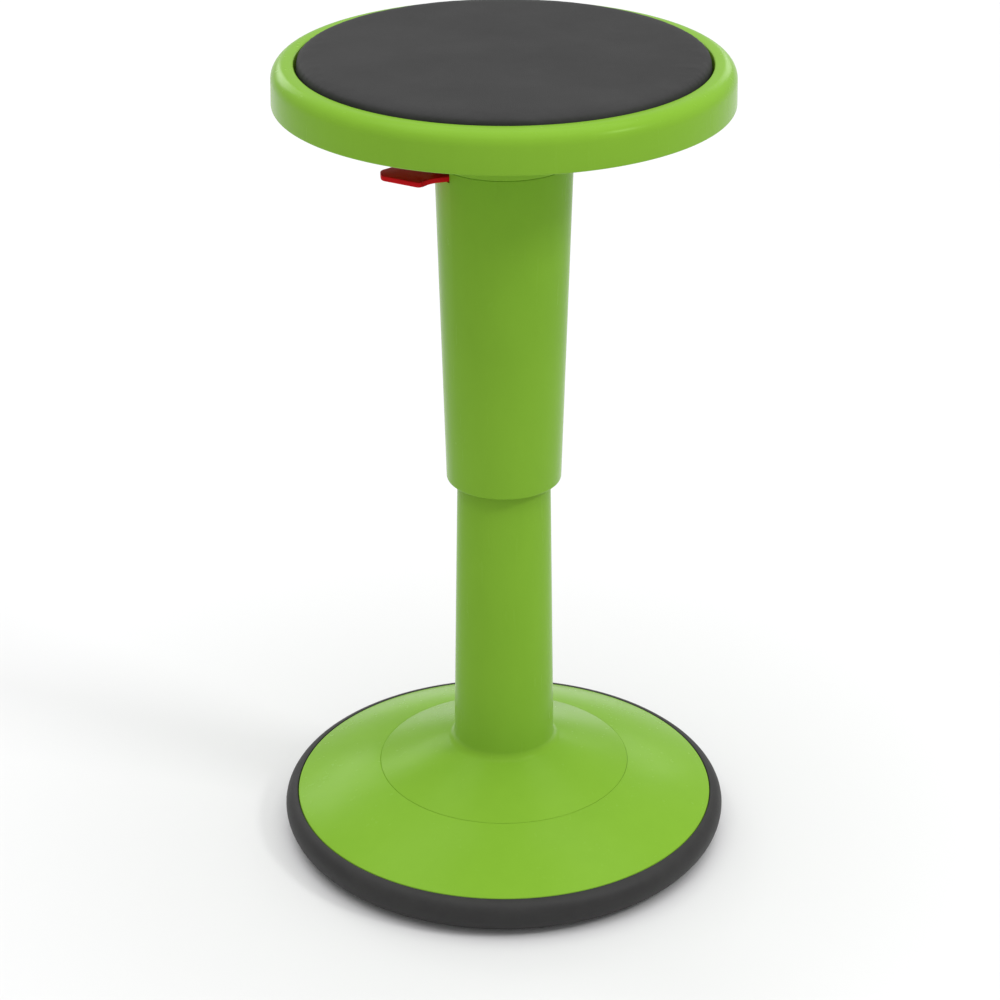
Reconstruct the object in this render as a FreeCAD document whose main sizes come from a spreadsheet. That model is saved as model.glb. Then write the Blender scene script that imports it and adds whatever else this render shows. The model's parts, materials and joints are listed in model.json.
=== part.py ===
import FreeCAD, Part
import math
import os
import Sketcher
from FreeCAD import Vector

# A height-adjustable wobble stool, in millimetres. The origin is the centre of the sole's flat
# middle, on the floor; +Z points up the column. The stool is built at its full height.
doc = FreeCAD.newDocument("WobbleStool")

# Driving dimensions: alias, value, what it is.
SIZES = [
    ("sole_radius", 179, "widest radius of the rubber sole"),
    ("sole_widest_z", 21.5, "height of the widest ring"),
    ("sole_flat_radius", 105, "flat middle that the stool rests on"),
    ("sole_corner_radius", 170, "radius where the rocking face ends"),
    ("rocker_radius", 409, "curve of the rocking face"),
    ("sole_low_round", 19.3, "round under the widest ring"),
    ("sole_high_round", 12, "round over the widest ring"),
    ("sole_bore", 62, "opening in the middle of the sole"),
    ("sole_floor", 8, "thickness of the sole's floor"),
    ("disc_radius", 168.6, "outer radius of the base disc"),
    ("disc_edge_z", 31.5, "top edge of the base disc"),
    ("cone_slope", 0.367, "rise of the base cone per unit of radius"),
    ("flare_radius", 100.8, "where the column's flare meets the disc"),
    ("skin", 3.4, "moulded wall"),
    ("seam", 0.3, "gap between two mouldings"),
    ("frame_radius", 158, "steel plate in the base"),
    ("frame_plate", 3, "its thickness"),
    ("ballast_top", 20, "top of the ballast ring"),
    ("flare_screw_pitch", 72, "pitch radius of the column screws"),
    ("disc_screw_pitch", 130, "pitch radius of the disc screws"),
    ("cover_screw_pitch", 48, "pitch radius of the bottom cover's screws"),
    ("base_screw_hole", 2.6, "clearance hole for a base screw, radius"),
    ("pilot_hole", 2.1, "hole for a screw in a plastic boss, radius"),
    ("disc_boss", 4.5, "boss for a disc or cover screw, radius"),
    ("flare_boss", 5.5, "boss for a column screw, radius"),
    ("cover_low", 1.6, "underside of the bottom cover"),
    ("cover_wall", 2.2, "its wall"),
    ("low_column_base", 41.64, "lower column's radius carried down to the floor"),
    ("low_column_taper", 0.017, "radius that it loses per unit of height"),
    ("low_column_top", 330, "its top edge"),
    ("low_column_wall", 3, "its wall"),
    ("foot_round", 8, "round between the flare and the column"),
    ("shroud_lip_z", 311, "bottom edge of the upper column"),
    ("shroud_lip_radius", 44.6, "its outer radius there"),
    ("shroud_taper", 0.0273, "radius that it gains per unit of height"),
    ("shroud_wall", 2.8, "its wall"),
    ("shroud_top", 570, "its top edge, under the seat's collar"),
    ("seat_radius", 170, "outer radius of the seat shell"),
    ("seat_edge_z", 614.8, "bottom edge of the seat shell"),
    ("seat_rim_z", 645, "top of the seat's rim"),
    ("deck_z", 620, "underside of the seat's deck"),
    ("deck", 4, "thickness of the deck"),
    ("pad_radius", 152, "radius of the pad"),
    ("pad_top", 649.5, "top of the pad at its middle"),
    ("rim_width", 17.4, "from the pad's recess to the outside of the shell"),
    ("plate_radius", 75, "steel plate on the deck"),
    ("plate", 2.8, "its thickness"),
    ("board_z", 627, "underside of the pad's board"),
    ("pad_screw_pitch", 110, "pitch radius of the pad screws"),
    ("rib", 2.4, "thickness of a rib under the deck"),
    ("pad_low", 636.2, "underside of the pad"),
    ("pad_round", 5, "round of the pad's top edge"),
    ("seat_round", 11, "round of the seat's top edge"),
    ("stand_radius", 25, "stand tube"),
    ("stand_wall", 1.5, "its wall"),
    ("stand_low", 14, "its lower end"),
    ("stand_top", 302, "its upper end"),
    ("lift_radius", 14, "pressure tube of the gas spring"),
    ("lift_low", 241, "its lower end at full height"),
    ("lift_top", 553, "its upper end"),
    ("taper_low", 508, "where its taper starts"),
    ("taper_rate", 0.0245, "radius that a taper loses per unit of height"),
    ("rod_radius", 5, "piston rod"),
    ("stem_radius", 4.05, "thin ends of the piston rod"),
    ("rod_low", 9, "lower end of the rod"),
    ("piston_z", 262, "underside of the piston"),
    ("race_z", 17.5, "underside of the lower race"),
    ("race", 2, "thickness of a race"),
    ("race_radius", 12, "outer radius of a race"),
    ("ball_radius", 1.98, "bearing ball"),
    ("ball_pitch", 8.2, "pitch radius of the balls"),
    ("hub_radius", 34, "body of the seat's hub"),
    ("hub_wall", 4, "its wall"),
    ("hub_bolt_pitch", 41, "pitch radius of the hub bolts"),
    ("hub_bolt_hole", 3.2, "its clearance hole, radius"),
    ("hub_slot", 15.5, "half width of the lever's slot in the hub"),
    ("lever_z", 563, "underside of the lever"),
    ("lever_plate", 4, "thickness of the lever"),
    ("pivot_reach", 20, "distance from the column's axis to the lever's pivot"),
    ("pivot_radius", 2, "pivot pin"),
    ("lever_nose_round", 2.5, "round of the paddle's corners"),
    ("knuckle_radius", 4.2, "the lever's knuckle on the pivot pin"),
    ("knuckle_width", 22, "its length"),
    ("notch_half", 20.6, "half width of the lever's notch in the sleeve"),
    ("lever_turn", 17, "turn of the lever from -X towards -Y, in degrees"),
]

sheet = doc.addObject("Spreadsheet::Sheet", "Dim")
for row, (alias, value, note) in enumerate(SIZES, start=1):
    sheet.set(f"A{row}", note)
    sheet.set(f"B{row}", str(value))
    sheet.setAlias(f"B{row}", alias)
doc.recompute()

CONE = "(Dim.disc_edge_z + (Dim.disc_radius - {0}) * Dim.cone_slope)"
LOW_COLUMN = "(Dim.low_column_base - Dim.low_column_taper * {0})"
SHROUD = "(Dim.shroud_lip_radius + Dim.shroud_taper * ({0} - Dim.shroud_lip_z))"
FOOT_RADIUS = "(Dim.low_column_base - Dim.low_column_taper * 78.6)"


def origin_feature(body, role):
    return next(item for item in body.Origin.OriginFeatures if item.Role == role)


def number(expression):
    return float(sheet.evalExpression(str(expression)))


def new_body(label):
    body = doc.addObject("PartDesign::Body", label)
    body.Label = label
    return body


def hold(sketch, edge, vertex, tag, x, y):
    # One end of a sketch edge is held at (x, y), each an expression of the sheet.
    for axis, kind, line, value in (("x", "DistanceX", -2, x), ("y", "DistanceY", -1, y)):
        if value == 0:
            sketch.addConstraint(Sketcher.Constraint("PointOnObject", edge, vertex, line))
            continue
        index = sketch.addConstraint(Sketcher.Constraint(kind, -1, 1, edge, vertex, number(value)))
        sketch.renameConstraint(index, f"{axis}{tag}")
        sketch.setExpression(f"Constraints.{axis}{tag}", str(value))


def arc_between(start, end, radius, bulge):
    # A short arc from start to end; a bulge of 1 puts its middle to the right of the way there,
    # and -1 to the left. It is stored anticlockwise either way.
    chord = end.sub(start)
    right = Vector(chord.y, -chord.x, 0).normalize()
    depth = math.sqrt(radius ** 2 - chord.Length ** 2 / 4)
    centre = start.add(end).multiply(0.5).sub(right.multiply(depth * bulge))
    angles = [math.atan2(place.y - centre.y, place.x - centre.x) for place in (start, end)]
    if bulge < 0:
        angles.reverse()
    return Part.ArcOfCircle(Part.Circle(centre, Vector(0, 0, 1), radius), *angles)


def new_sketch(body, name, plane, offset=None):
    sketch = body.newObject("Sketcher::SketchObject", name)
    sketch.AttachmentSupport = (origin_feature(body, plane), "")
    sketch.MapMode = "FlatFace"
    if offset is not None:
        sketch.setExpression("AttachmentOffset.Base.z", str(offset))
    return sketch


def outline(body, name, plane, points, offset=None):
    # A closed sketch through the points (x, y) or (x, y, radius, bulge); the last two make the
    # edge that leaves the point an arc. An arc is stored anticlockwise, so its ends may be swapped.
    sketch = new_sketch(body, name, plane, offset)
    places = [Vector(number(point[0]), number(point[1]), 0) for point in points]
    count = len(points)
    ends = []
    for index, point in enumerate(points):
        start = places[index]
        end = places[(index + 1) % count]
        edge = Part.LineSegment(start, end)
        if len(point) == 4:
            edge = arc_between(start, end, number(point[2]), point[3])
        sketch.addGeometry(edge)
        forward = sketch.Geometry[index].StartPoint.distanceToPoint(start) < 1e-6
        ends.append((1, 2) if forward else (2, 1))
    for index, point in enumerate(points):
        after = (index + 1) % count
        sketch.addConstraint(Sketcher.Constraint("Coincident", index, ends[index][1], after, ends[after][0]))
        hold(sketch, index, ends[index][0], index, point[0], point[1])
        if len(point) == 4:
            place = sketch.addConstraint(Sketcher.Constraint("Radius", index, number(point[2])))
            sketch.renameConstraint(place, f"round{index}")
            sketch.setExpression(f"Constraints.round{index}", str(point[2]))
    return sketch


def circle_sketch(body, name, x, y, radius, level, plane="XY_Plane"):
    sketch = new_sketch(body, name, plane, level)
    sketch.addGeometry(Part.Circle(Vector(number(x), number(y), 0), Vector(0, 0, 1), number(radius)))
    hold(sketch, 0, 3, 0, x, y)
    place = sketch.addConstraint(Sketcher.Constraint("Radius", 0, number(radius)))
    sketch.renameConstraint(place, "size")
    sketch.setExpression("Constraints.size", str(radius))
    return sketch


def turned(label, points, about=None, sweep=360):
    # A body turned about Z, or about a vertical line at the radius given by about.
    body = new_body(label)
    sketch = outline(body, f"{label}_profile", "XZ_Plane", points)
    axis = "V_Axis"
    if about is not None:
        place = Vector(number(about), 0, 0)
        line = sketch.addGeometry(Part.LineSegment(place, place.add(Vector(0, 10, 0))), True)
        hold(sketch, line, 1, "foot", about, 0)
        hold(sketch, line, 2, "head", about, 10)
        axis = "Axis0"
    turn = body.newObject("PartDesign::Revolution", f"{label}_turn")
    turn.Profile = sketch
    turn.ReferenceAxis = (sketch, [axis])
    turn.Angle = sweep
    doc.recompute()
    return body


def repeat(body, feature, count):
    pattern = body.newObject("PartDesign::PolarPattern", f"{feature.Name}_ring")
    pattern.Originals = [feature]
    pattern.Axis = (origin_feature(body, "Z_Axis"), [""])
    pattern.Angle = 360
    pattern.Occurrences = count
    body.Tip = pattern
    doc.recompute()


def raise_pad(body, sketch, height, both_ways=False):
    pad = body.newObject("PartDesign::Pad", f"{sketch.Name}_pad")
    pad.Profile = sketch
    pad.setExpression("Length", str(height))
    pad.Midplane = both_ways
    doc.recompute()
    return pad


def cut_down(body, sketch, depth, both_ways=False):
    # A pocket from the sketch towards -Z, or to both sides of the sketch. It has to take material.
    before = body.Tip.Shape.Volume
    pocket = body.newObject("PartDesign::Pocket", f"{sketch.Name}_cut")
    pocket.Profile = sketch
    pocket.setExpression("Length", str(depth))
    pocket.Midplane = both_ways
    doc.recompute()
    if pocket.Shape.Volume > before - 0.5:
        raise ValueError(f"{sketch.Name} cuts nothing")
    return pocket


def bosses(body, name, pitch, radius, low, height, count):
    pad = raise_pad(body, circle_sketch(body, name, *on_ring(pitch, 180 / count), radius, low), height)
    repeat(body, pad, count)


def holes(body, name, pitch, radius, top, depth, count, first=None):
    # A ring of holes; the first is half a step round from +X unless its angle is given.
    angle = 180 / count if first is None else first
    cut = cut_down(body, circle_sketch(body, name, *on_ring(pitch, angle), radius, top), depth)
    repeat(body, cut, count)


def on_ring(pitch, angle):
    return f"{pitch} * cos({angle})", f"{pitch} * sin({angle})"


def round_edges(body, places, radius):
    # Rounds the circular edges at the places (radius from Z, height).
    base = body.Tip
    names = []
    for index, edge in enumerate(base.Shape.Edges, start=1):
        if not isinstance(edge.Curve, Part.Circle):
            continue
        spot = (edge.Curve.Radius, edge.Curve.Center.z)
        if any(math.dist(spot, (number(r), number(z))) < 0.05 for r, z in places):
            names.append(f"Edge{index}")
    if len(names) < len(places):
        raise ValueError(f"{body.Label}: an edge to round is missing")
    fillet = body.newObject("PartDesign::Fillet", f"{body.Label}_round")
    fillet.Base = (base, names)
    fillet.setExpression("Radius", str(radius))
    body.Tip = fillet
    doc.recompute()


def screw_ring(label, pitch, count, profile):
    # A ring of turned fasteners; the profile's radii count from each fastener's own axis.
    points = [(f"{pitch} + {r}" if r else pitch, z) for r, z in profile]
    body = turned(label, points, about=pitch)
    repeat(body, body.Tip, count)
    body.Placement = FreeCAD.Placement(Vector(), FreeCAD.Rotation(Vector(0, 0, 1), 180 / count))
    return body


def face_lever(body):
    # Turns a body so that its own +X points along the lever.
    turn = 180 + number("Dim.lever_turn")
    body.Placement = FreeCAD.Placement(Vector(), FreeCAD.Rotation(Vector(0, 0, 1), turn))


def box_outline(x0, x1, y0, y1):
    return [(x0, y0), (x1, y0), (x1, y1), (x0, y1)]


# The base.

def rubber_sole():
    rocker = (
        "Dim.rocker_radius - sqrt(Dim.rocker_radius ^ 2"
        " - (Dim.sole_corner_radius - Dim.sole_flat_radius) ^ 2)"
    )
    edge = "Dim.disc_radius + 0.7"
    ledge = "Dim.disc_edge_z - 7.5"
    wall = "Dim.frame_radius + 2"
    turned("rubber_sole", [
        ("Dim.sole_bore", 0),
        ("Dim.sole_flat_radius", 0, "Dim.rocker_radius", 1),
        ("Dim.sole_corner_radius", rocker, "Dim.sole_low_round", 1),
        ("Dim.sole_radius", "Dim.sole_widest_z", "Dim.sole_high_round", 1),
        (edge, "Dim.disc_edge_z - 1"),
        (edge, ledge),
        (wall, ledge),
        (wall, "Dim.sole_floor"),
        ("Dim.sole_bore", "Dim.sole_floor"),
    ])


def base_frame():
    top = "Dim.sole_floor + Dim.frame_plate"
    body = turned("base_frame", [
        ("Dim.stand_radius - 1.2", "Dim.sole_floor"),
        ("Dim.frame_radius", "Dim.sole_floor"),
        ("Dim.frame_radius", top),
        ("Dim.stand_radius + 6", top),
        ("Dim.stand_radius + 6", "Dim.stand_low + 52"),
        ("Dim.stand_radius + 0.05", "Dim.stand_low + 52"),
        ("Dim.stand_radius + 0.05", "Dim.stand_low + 50"),
        ("Dim.stand_radius - 1.2", "Dim.stand_low"),
    ])
    gusset = outline(body, "gusset", "XZ_Plane", [
        ("Dim.stand_radius + 3", "Dim.sole_floor + 1"),
        ("Dim.stand_radius + 37", "Dim.sole_floor + 1"),
        ("Dim.stand_radius + 37", "Dim.sole_floor + 8"),
        ("Dim.stand_radius + 3", "Dim.stand_low + 44"),
    ])
    repeat(body, raise_pad(body, gusset, 4, both_ways=True), 6)
    holes(body, "flare_hole", "Dim.flare_screw_pitch", "Dim.base_screw_hole", top, 6, 6)
    holes(body, "disc_hole", "Dim.disc_screw_pitch", "Dim.base_screw_hole", top, 6, 6)
    holes(body, "cover_thread", "Dim.cover_screw_pitch", "Dim.pilot_hole - 0.05", top, 6, 4)


def ballast_ring():
    body = turned("ballast_ring", [
        ("Dim.flare_screw_pitch + 12", "Dim.sole_floor + Dim.frame_plate"),
        ("Dim.frame_radius - 4", "Dim.sole_floor + Dim.frame_plate"),
        ("Dim.frame_radius - 4", "Dim.ballast_top"),
        ("Dim.flare_screw_pitch + 12", "Dim.ballast_top"),
    ])
    round_edges(body, [("Dim.frame_radius - 4", "Dim.ballast_top")], 3)
    holes(body, "ballast_hole", "Dim.disc_screw_pitch", 6, "Dim.ballast_top", 30, 6)


def base_disc():
    # The lip stands on the sole's ledge; the inner edge steps down under the column's flare.
    inner = "Dim.flare_radius + Dim.seam"
    tuck = "Dim.flare_radius - 10"
    lip = "Dim.disc_radius - Dim.skin"
    low = "Dim.disc_edge_z - 7.4"
    body = turned("base_disc", [
        (inner, CONE.format(f"({inner})")),
        ("Dim.disc_radius", "Dim.disc_edge_z"),
        ("Dim.disc_radius", low),
        (lip, low),
        (lip, CONE.format(f"({lip})") + " - Dim.skin"),
        ("Dim.flare_radius + 4", CONE.format("(Dim.flare_radius + 4)") + " - Dim.skin"),
        (inner, CONE.format(f"({inner})") + " - 2 * Dim.skin - Dim.seam"),
        (tuck, CONE.format(f"({tuck})") + " - 2 * Dim.skin - Dim.seam"),
        (tuck, CONE.format(f"({tuck})") + " - Dim.skin - Dim.seam"),
        (inner, CONE.format(f"({inner})") + " - Dim.skin - Dim.seam"),
    ])
    round_edges(body, [("Dim.disc_radius", "Dim.disc_edge_z")], 1.2)
    low = "(Dim.sole_floor + Dim.frame_plate)"
    top = CONE.format("(Dim.disc_screw_pitch + Dim.disc_boss)")
    bosses(body, "disc_boss", "Dim.disc_screw_pitch", "Dim.disc_boss", low, f"{top} - {low} - 0.2", 6)
    holes(body, "disc_boss_hole", "Dim.disc_screw_pitch", "Dim.pilot_hole", 32, 30, 6)


def lower_column():
    inner_foot = f"({FOOT_RADIUS} - Dim.low_column_wall)"
    inner_rise = CONE.format(inner_foot) + " - Dim.skin"
    flare_z = CONE.format("Dim.flare_radius")
    top = "Dim.low_column_top"
    body = turned("lower_column", [
        ("Dim.flare_radius", f"{flare_z} - Dim.skin"),
        ("Dim.flare_radius", flare_z),
        (FOOT_RADIUS, CONE.format(FOOT_RADIUS)),
        (LOW_COLUMN.format(top), top),
        (f"{LOW_COLUMN.format(top)} - Dim.low_column_wall", top),
        (inner_foot, inner_rise),
    ])
    round_edges(body, [(FOOT_RADIUS, CONE.format(FOOT_RADIUS))], "Dim.foot_round")
    round_edges(body, [(inner_foot, inner_rise)], "Dim.foot_round")
    low = "(Dim.sole_floor + Dim.frame_plate)"
    height = f"{CONE.format('(Dim.flare_screw_pitch + Dim.flare_boss)')} - {low} - 0.2"
    bosses(body, "flare_boss", "Dim.flare_screw_pitch", "Dim.flare_boss", low, height, 6)
    holes(body, "flare_boss_hole", "Dim.flare_screw_pitch", "Dim.pilot_hole", 36, 30, 6)


def stand_tube():
    inner = "Dim.stand_radius - Dim.stand_wall"
    turned("stand_tube", [
        ("Dim.stem_radius + 0.05", "Dim.stand_low"),
        ("Dim.stand_radius - 1.22", "Dim.stand_low"),
        ("Dim.stand_radius", "Dim.stand_low + 50"),
        ("Dim.stand_radius", "Dim.stand_top"),
        (inner, "Dim.stand_top"),
        (inner, "Dim.stand_low + 50"),
        (f"{inner} - 1.2", "Dim.race_z"),
        ("Dim.stem_radius + 0.05", "Dim.race_z"),
    ])


def guide_bush():
    collar = "Dim.stand_top + 4"
    body = turned("guide_bush", [
        ("Dim.lift_radius + 0.05", "Dim.lift_low - 3"),
        ("Dim.stand_radius - Dim.stand_wall - 0.05", "Dim.lift_low - 3"),
        ("Dim.stand_radius - Dim.stand_wall - 0.05", "Dim.stand_top"),
        ("Dim.stand_radius", "Dim.stand_top"),
        ("Dim.stand_radius", collar),
        ("Dim.lift_radius + 0.05", collar),
    ])
    round_edges(body, [("Dim.stand_radius", collar)], 1.5)


def guide_ring():
    # A nylon ring caps the lower column and centres the upper one.
    column = LOW_COLUMN.format("Dim.low_column_top")
    outer = f"{SHROUD.format('Dim.low_column_top')} - Dim.shroud_wall - 0.8"
    top = "Dim.low_column_top + 3"
    body = turned("guide_ring", [
        (f"{column} - Dim.low_column_wall - 1.6", "Dim.low_column_top - 10"),
        (f"{column} - Dim.low_column_wall - 0.2", "Dim.low_column_top - 10"),
        (f"{column} - Dim.low_column_wall - 0.2", "Dim.low_column_top"),
        (f"{outer} - 1.6", "Dim.low_column_top"),
        (f"{outer} - 1.6", "Dim.low_column_top - 6"),
        (outer, "Dim.low_column_top - 6"),
        (outer, top),
        (f"{column} - Dim.low_column_wall - 1.6", top),
    ])
    round_edges(body, [(outer, top)], 1)


def race(label, low):
    turned(label, [
        ("Dim.stem_radius + 0.1", low),
        ("Dim.race_radius", low),
        ("Dim.race_radius", f"{low} + Dim.race"),
        ("Dim.stem_radius + 0.1", f"{low} + Dim.race"),
    ])


def bottom_cover():
    edge = "Dim.sole_bore - 0.4"
    inside = "Dim.cover_low + Dim.cover_wall"
    body = turned("bottom_cover", [
        (0, "Dim.cover_low"),
        ("Dim.sole_bore - 3", "Dim.cover_low"),
        (edge, "Dim.cover_low + 1.4"),
        (edge, "Dim.sole_floor - 2"),
        (f"{edge} - Dim.cover_wall", "Dim.sole_floor - 2"),
        (f"{edge} - Dim.cover_wall", inside),
        (0, inside),
    ])
    bosses(body, "cover_boss", "Dim.cover_screw_pitch", "Dim.disc_boss", 3, "Dim.sole_floor - 3", 4)
    holes(body, "cover_hole", "Dim.cover_screw_pitch", "Dim.pilot_hole", "Dim.sole_floor", 10, 4)


def base_screws():
    # Countersunk screws lie flush with the plate, and the cover's have pan heads.
    low = "Dim.sole_floor"
    shank = [(0, f"{low} + 0.05"), (2.5, f"{low} + 0.05"), (2.5, f"{low} + 1"), (2, f"{low} + 1")]
    screw_ring("column_screws", "Dim.flare_screw_pitch", 6, shank + [(2, f"{low} + 24"), (0, f"{low} + 26")])
    screw_ring("disc_screws", "Dim.disc_screw_pitch", 6, shank + [(2, f"{low} + 20"), (0, f"{low} + 22")])
    screw_ring("cover_screws", "Dim.cover_screw_pitch", 4, [
        (0, 0.4), (2.8, 0.6), (3.6, 1.5), (2, 1.58), (2, 12), (0, 14),
    ])


# The rod and the thrust bearing that the seat turns on.

def piston_rod():
    shoulder = "Dim.race_z + 4 + 2 * Dim.race"
    groove = "Dim.rod_low + 2"
    turned("piston_rod", [
        (0, "Dim.rod_low"),
        ("Dim.stem_radius - 0.6", "Dim.rod_low"),
        ("Dim.stem_radius", "Dim.rod_low + 0.6"),
        ("Dim.stem_radius", groove),
        ("Dim.stem_radius - 0.8", groove),
        ("Dim.stem_radius - 0.8", f"{groove} + 1.2"),
        ("Dim.stem_radius", f"{groove} + 1.2"),
        ("Dim.stem_radius", shoulder),
        ("Dim.rod_radius", shoulder),
        ("Dim.rod_radius", "Dim.piston_z"),
        ("Dim.stem_radius", "Dim.piston_z"),
        ("Dim.stem_radius", "Dim.piston_z + 17"),
        (0, "Dim.piston_z + 17"),
    ])


def retaining_clip():
    low = "Dim.rod_low + 2.05"
    turned("retaining_clip", [
        ("Dim.stem_radius - 0.75", low),
        ("Dim.stem_radius + 3.5", low),
        ("Dim.stem_radius + 3.5", f"{low} + 1.1"),
        ("Dim.stem_radius - 0.75", f"{low} + 1.1"),
    ], sweep=290)


def clip_washer():
    low = "Dim.rod_low + 3.2"
    turned("clip_washer", [
        ("Dim.stem_radius + 0.1", low),
        ("Dim.stem_radius + 5", low),
        ("Dim.stem_radius + 5", "Dim.stand_low - 0.1"),
        ("Dim.stem_radius + 0.1", "Dim.stand_low - 0.1"),
    ])


def rod_buffer():
    low = "Dim.race_z + 4 + 2 * Dim.race + 0.1"
    body = turned("rod_buffer", [
        ("Dim.rod_radius + 0.2", low),
        ("Dim.rod_radius + 6", low),
        ("Dim.rod_radius + 6", f"{low} + 15"),
        ("Dim.rod_radius + 0.2", f"{low} + 15"),
    ])
    round_edges(body, [("Dim.rod_radius + 6", low), ("Dim.rod_radius + 6", f"{low} + 15")], 2)


def piston():
    outer = "Dim.lift_radius - 1.7"
    turned("piston", [
        ("Dim.stem_radius", "Dim.piston_z"),
        (outer, "Dim.piston_z"),
        (outer, "Dim.piston_z + 5"),
        (f"{outer} - 1.6", "Dim.piston_z + 5"),
        (f"{outer} - 1.6", "Dim.piston_z + 10"),
        (outer, "Dim.piston_z + 10"),
        (outer, "Dim.piston_z + 15"),
        ("Dim.stem_radius", "Dim.piston_z + 15"),
    ])
    turned("piston_ring", [
        (f"{outer} - 1.5", "Dim.piston_z + 5.2"),
        ("Dim.lift_radius - 1.58", "Dim.piston_z + 5.2"),
        ("Dim.lift_radius - 1.58", "Dim.piston_z + 9.8"),
        (f"{outer} - 1.5", "Dim.piston_z + 9.8"),
    ])


def ball_cage():
    low = "Dim.race_z + Dim.race + 1.2"
    body = turned("ball_cage", [
        ("Dim.ball_pitch - 2.9", low),
        ("Dim.ball_pitch + 3.2", low),
        ("Dim.ball_pitch + 3.2", f"{low} + 1.6"),
        ("Dim.ball_pitch - 2.9", f"{low} + 1.6"),
    ])
    holes(body, "ball_hole", "Dim.ball_pitch", "Dim.ball_radius + 0.12", f"{low} + 3", 5, 10)


def bearing_balls():
    pitch = "Dim.ball_pitch"
    centre = "Dim.race_z + Dim.race + 2"
    body = turned("bearing_balls", [
        (pitch, f"{centre} - Dim.ball_radius", "Dim.ball_radius", 1),
        (f"{pitch} + Dim.ball_radius", centre, "Dim.ball_radius", 1),
        (pitch, f"{centre} + Dim.ball_radius"),
    ], about=pitch)
    repeat(body, body.Tip, 10)
    body.Placement = FreeCAD.Placement(Vector(), FreeCAD.Rotation(Vector(0, 0, 1), 18))


# The seat, with the gas spring that carries it.

def pressure_tube():
    outer = "Dim.lift_radius"
    bore = f"{outer} - 1.5"
    drop = "Dim.taper_rate * (Dim.lift_top - Dim.taper_low)"
    turned("pressure_tube", [
        (f"{outer} - 2.2", "Dim.lift_low"),
        (outer, "Dim.lift_low"),
        (outer, "Dim.taper_low"),
        (f"{outer} - {drop}", "Dim.lift_top"),
        (f"{bore} - 1", "Dim.lift_top"),
        (f"{bore} - 1", "Dim.taper_low - 3"),
        (bore, "Dim.taper_low - 4"),
        (bore, "Dim.lift_low + 2"),
        (f"{outer} - 2.2", "Dim.lift_low + 2"),
    ])
    turned("rod_guide", [
        ("Dim.rod_radius + 0.06", "Dim.lift_low + 2.1"),
        (f"{bore} - 0.05", "Dim.lift_low + 2.1"),
        (f"{bore} - 0.05", "Dim.lift_low + 18"),
        ("Dim.rod_radius + 0.06", "Dim.lift_low + 18"),
    ])
    turned("valve_body", [
        (3.1, "Dim.lift_top - 32"),
        (f"{bore} - 1.05", "Dim.lift_top - 32"),
        (f"{bore} - 1.05", "Dim.lift_top"),
        (3.1, "Dim.lift_top"),
    ])


def release_button():
    # The domed top lets the lever roll on it as it tilts.
    top = "Dim.lever_z - 0.15"
    turned("release_button", [
        (0, "Dim.lift_top - 20"),
        (3.04, "Dim.lift_top - 20"),
        (3.04, f"{top} - 6"),
        (4.8, f"{top} - 6"),
        (4.8, f"{top} - 5.5 + sqrt(5.5 ^ 2 - 4.8 ^ 2)", 5.5, 1),
        (0, top),
    ])


def seat_hub():
    # A cast cup carries the taper socket under the seat; the lever works through a slot in it.
    flange = "Dim.hub_bolt_pitch + 7"
    inner = "Dim.hub_radius - Dim.hub_wall"
    floor = "Dim.lift_top - 19"
    socket = "Dim.lift_radius + 0.03"
    drop = "Dim.taper_rate * (Dim.lift_top - 3 - Dim.taper_low)"
    body = turned("seat_hub", [
        (socket, "Dim.taper_low"),
        ("Dim.lift_radius + 6", "Dim.taper_low"),
        ("Dim.lift_radius + 6", floor),
        ("Dim.hub_radius", floor),
        ("Dim.hub_radius", "Dim.deck_z - 6"),
        (flange, "Dim.deck_z - 6"),
        (flange, "Dim.deck_z"),
        (inner, "Dim.deck_z"),
        (inner, f"{floor} + 5"),
        ("Dim.lift_radius + 6", f"{floor} + 5"),
        ("Dim.lift_radius + 6", "Dim.lift_top - 3"),
        (f"{socket} - {drop}", "Dim.lift_top - 3"),
    ])
    round_edges(body, [("Dim.hub_radius", floor), ("Dim.hub_radius", "Dim.deck_z - 6")], 1)
    mouth = box_outline(f"{inner} - 8", "Dim.hub_radius + 3", "-Dim.hub_slot", "Dim.hub_slot")
    cut_down(body, outline(body, "lever_slot", "XY_Plane", mouth, "Dim.lever_z + 10"), 13)
    pin = circle_sketch(body, "pivot_hole", "Dim.pivot_reach", "Dim.lever_z + Dim.lever_plate / 2",
                        "Dim.pivot_radius + 0.02", 0, plane="XZ_Plane")
    cut_down(body, pin, "2 * Dim.hub_radius + 4", both_ways=True)
    holes(body, "hub_bolt_hole", "Dim.hub_bolt_pitch", "Dim.hub_bolt_hole", "Dim.deck_z + 1", 8, 4)
    face_lever(body)


def lever_pin():
    body = new_body("lever_pin")
    sketch = circle_sketch(body, "pin_circle", "Dim.pivot_reach", "Dim.lever_z + Dim.lever_plate / 2",
                           "Dim.pivot_radius", 0, plane="XZ_Plane")
    raise_pad(body, sketch, "2 * sqrt(Dim.hub_radius ^ 2 - Dim.pivot_reach ^ 2) - 2", both_ways=True)
    face_lever(body)


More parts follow.
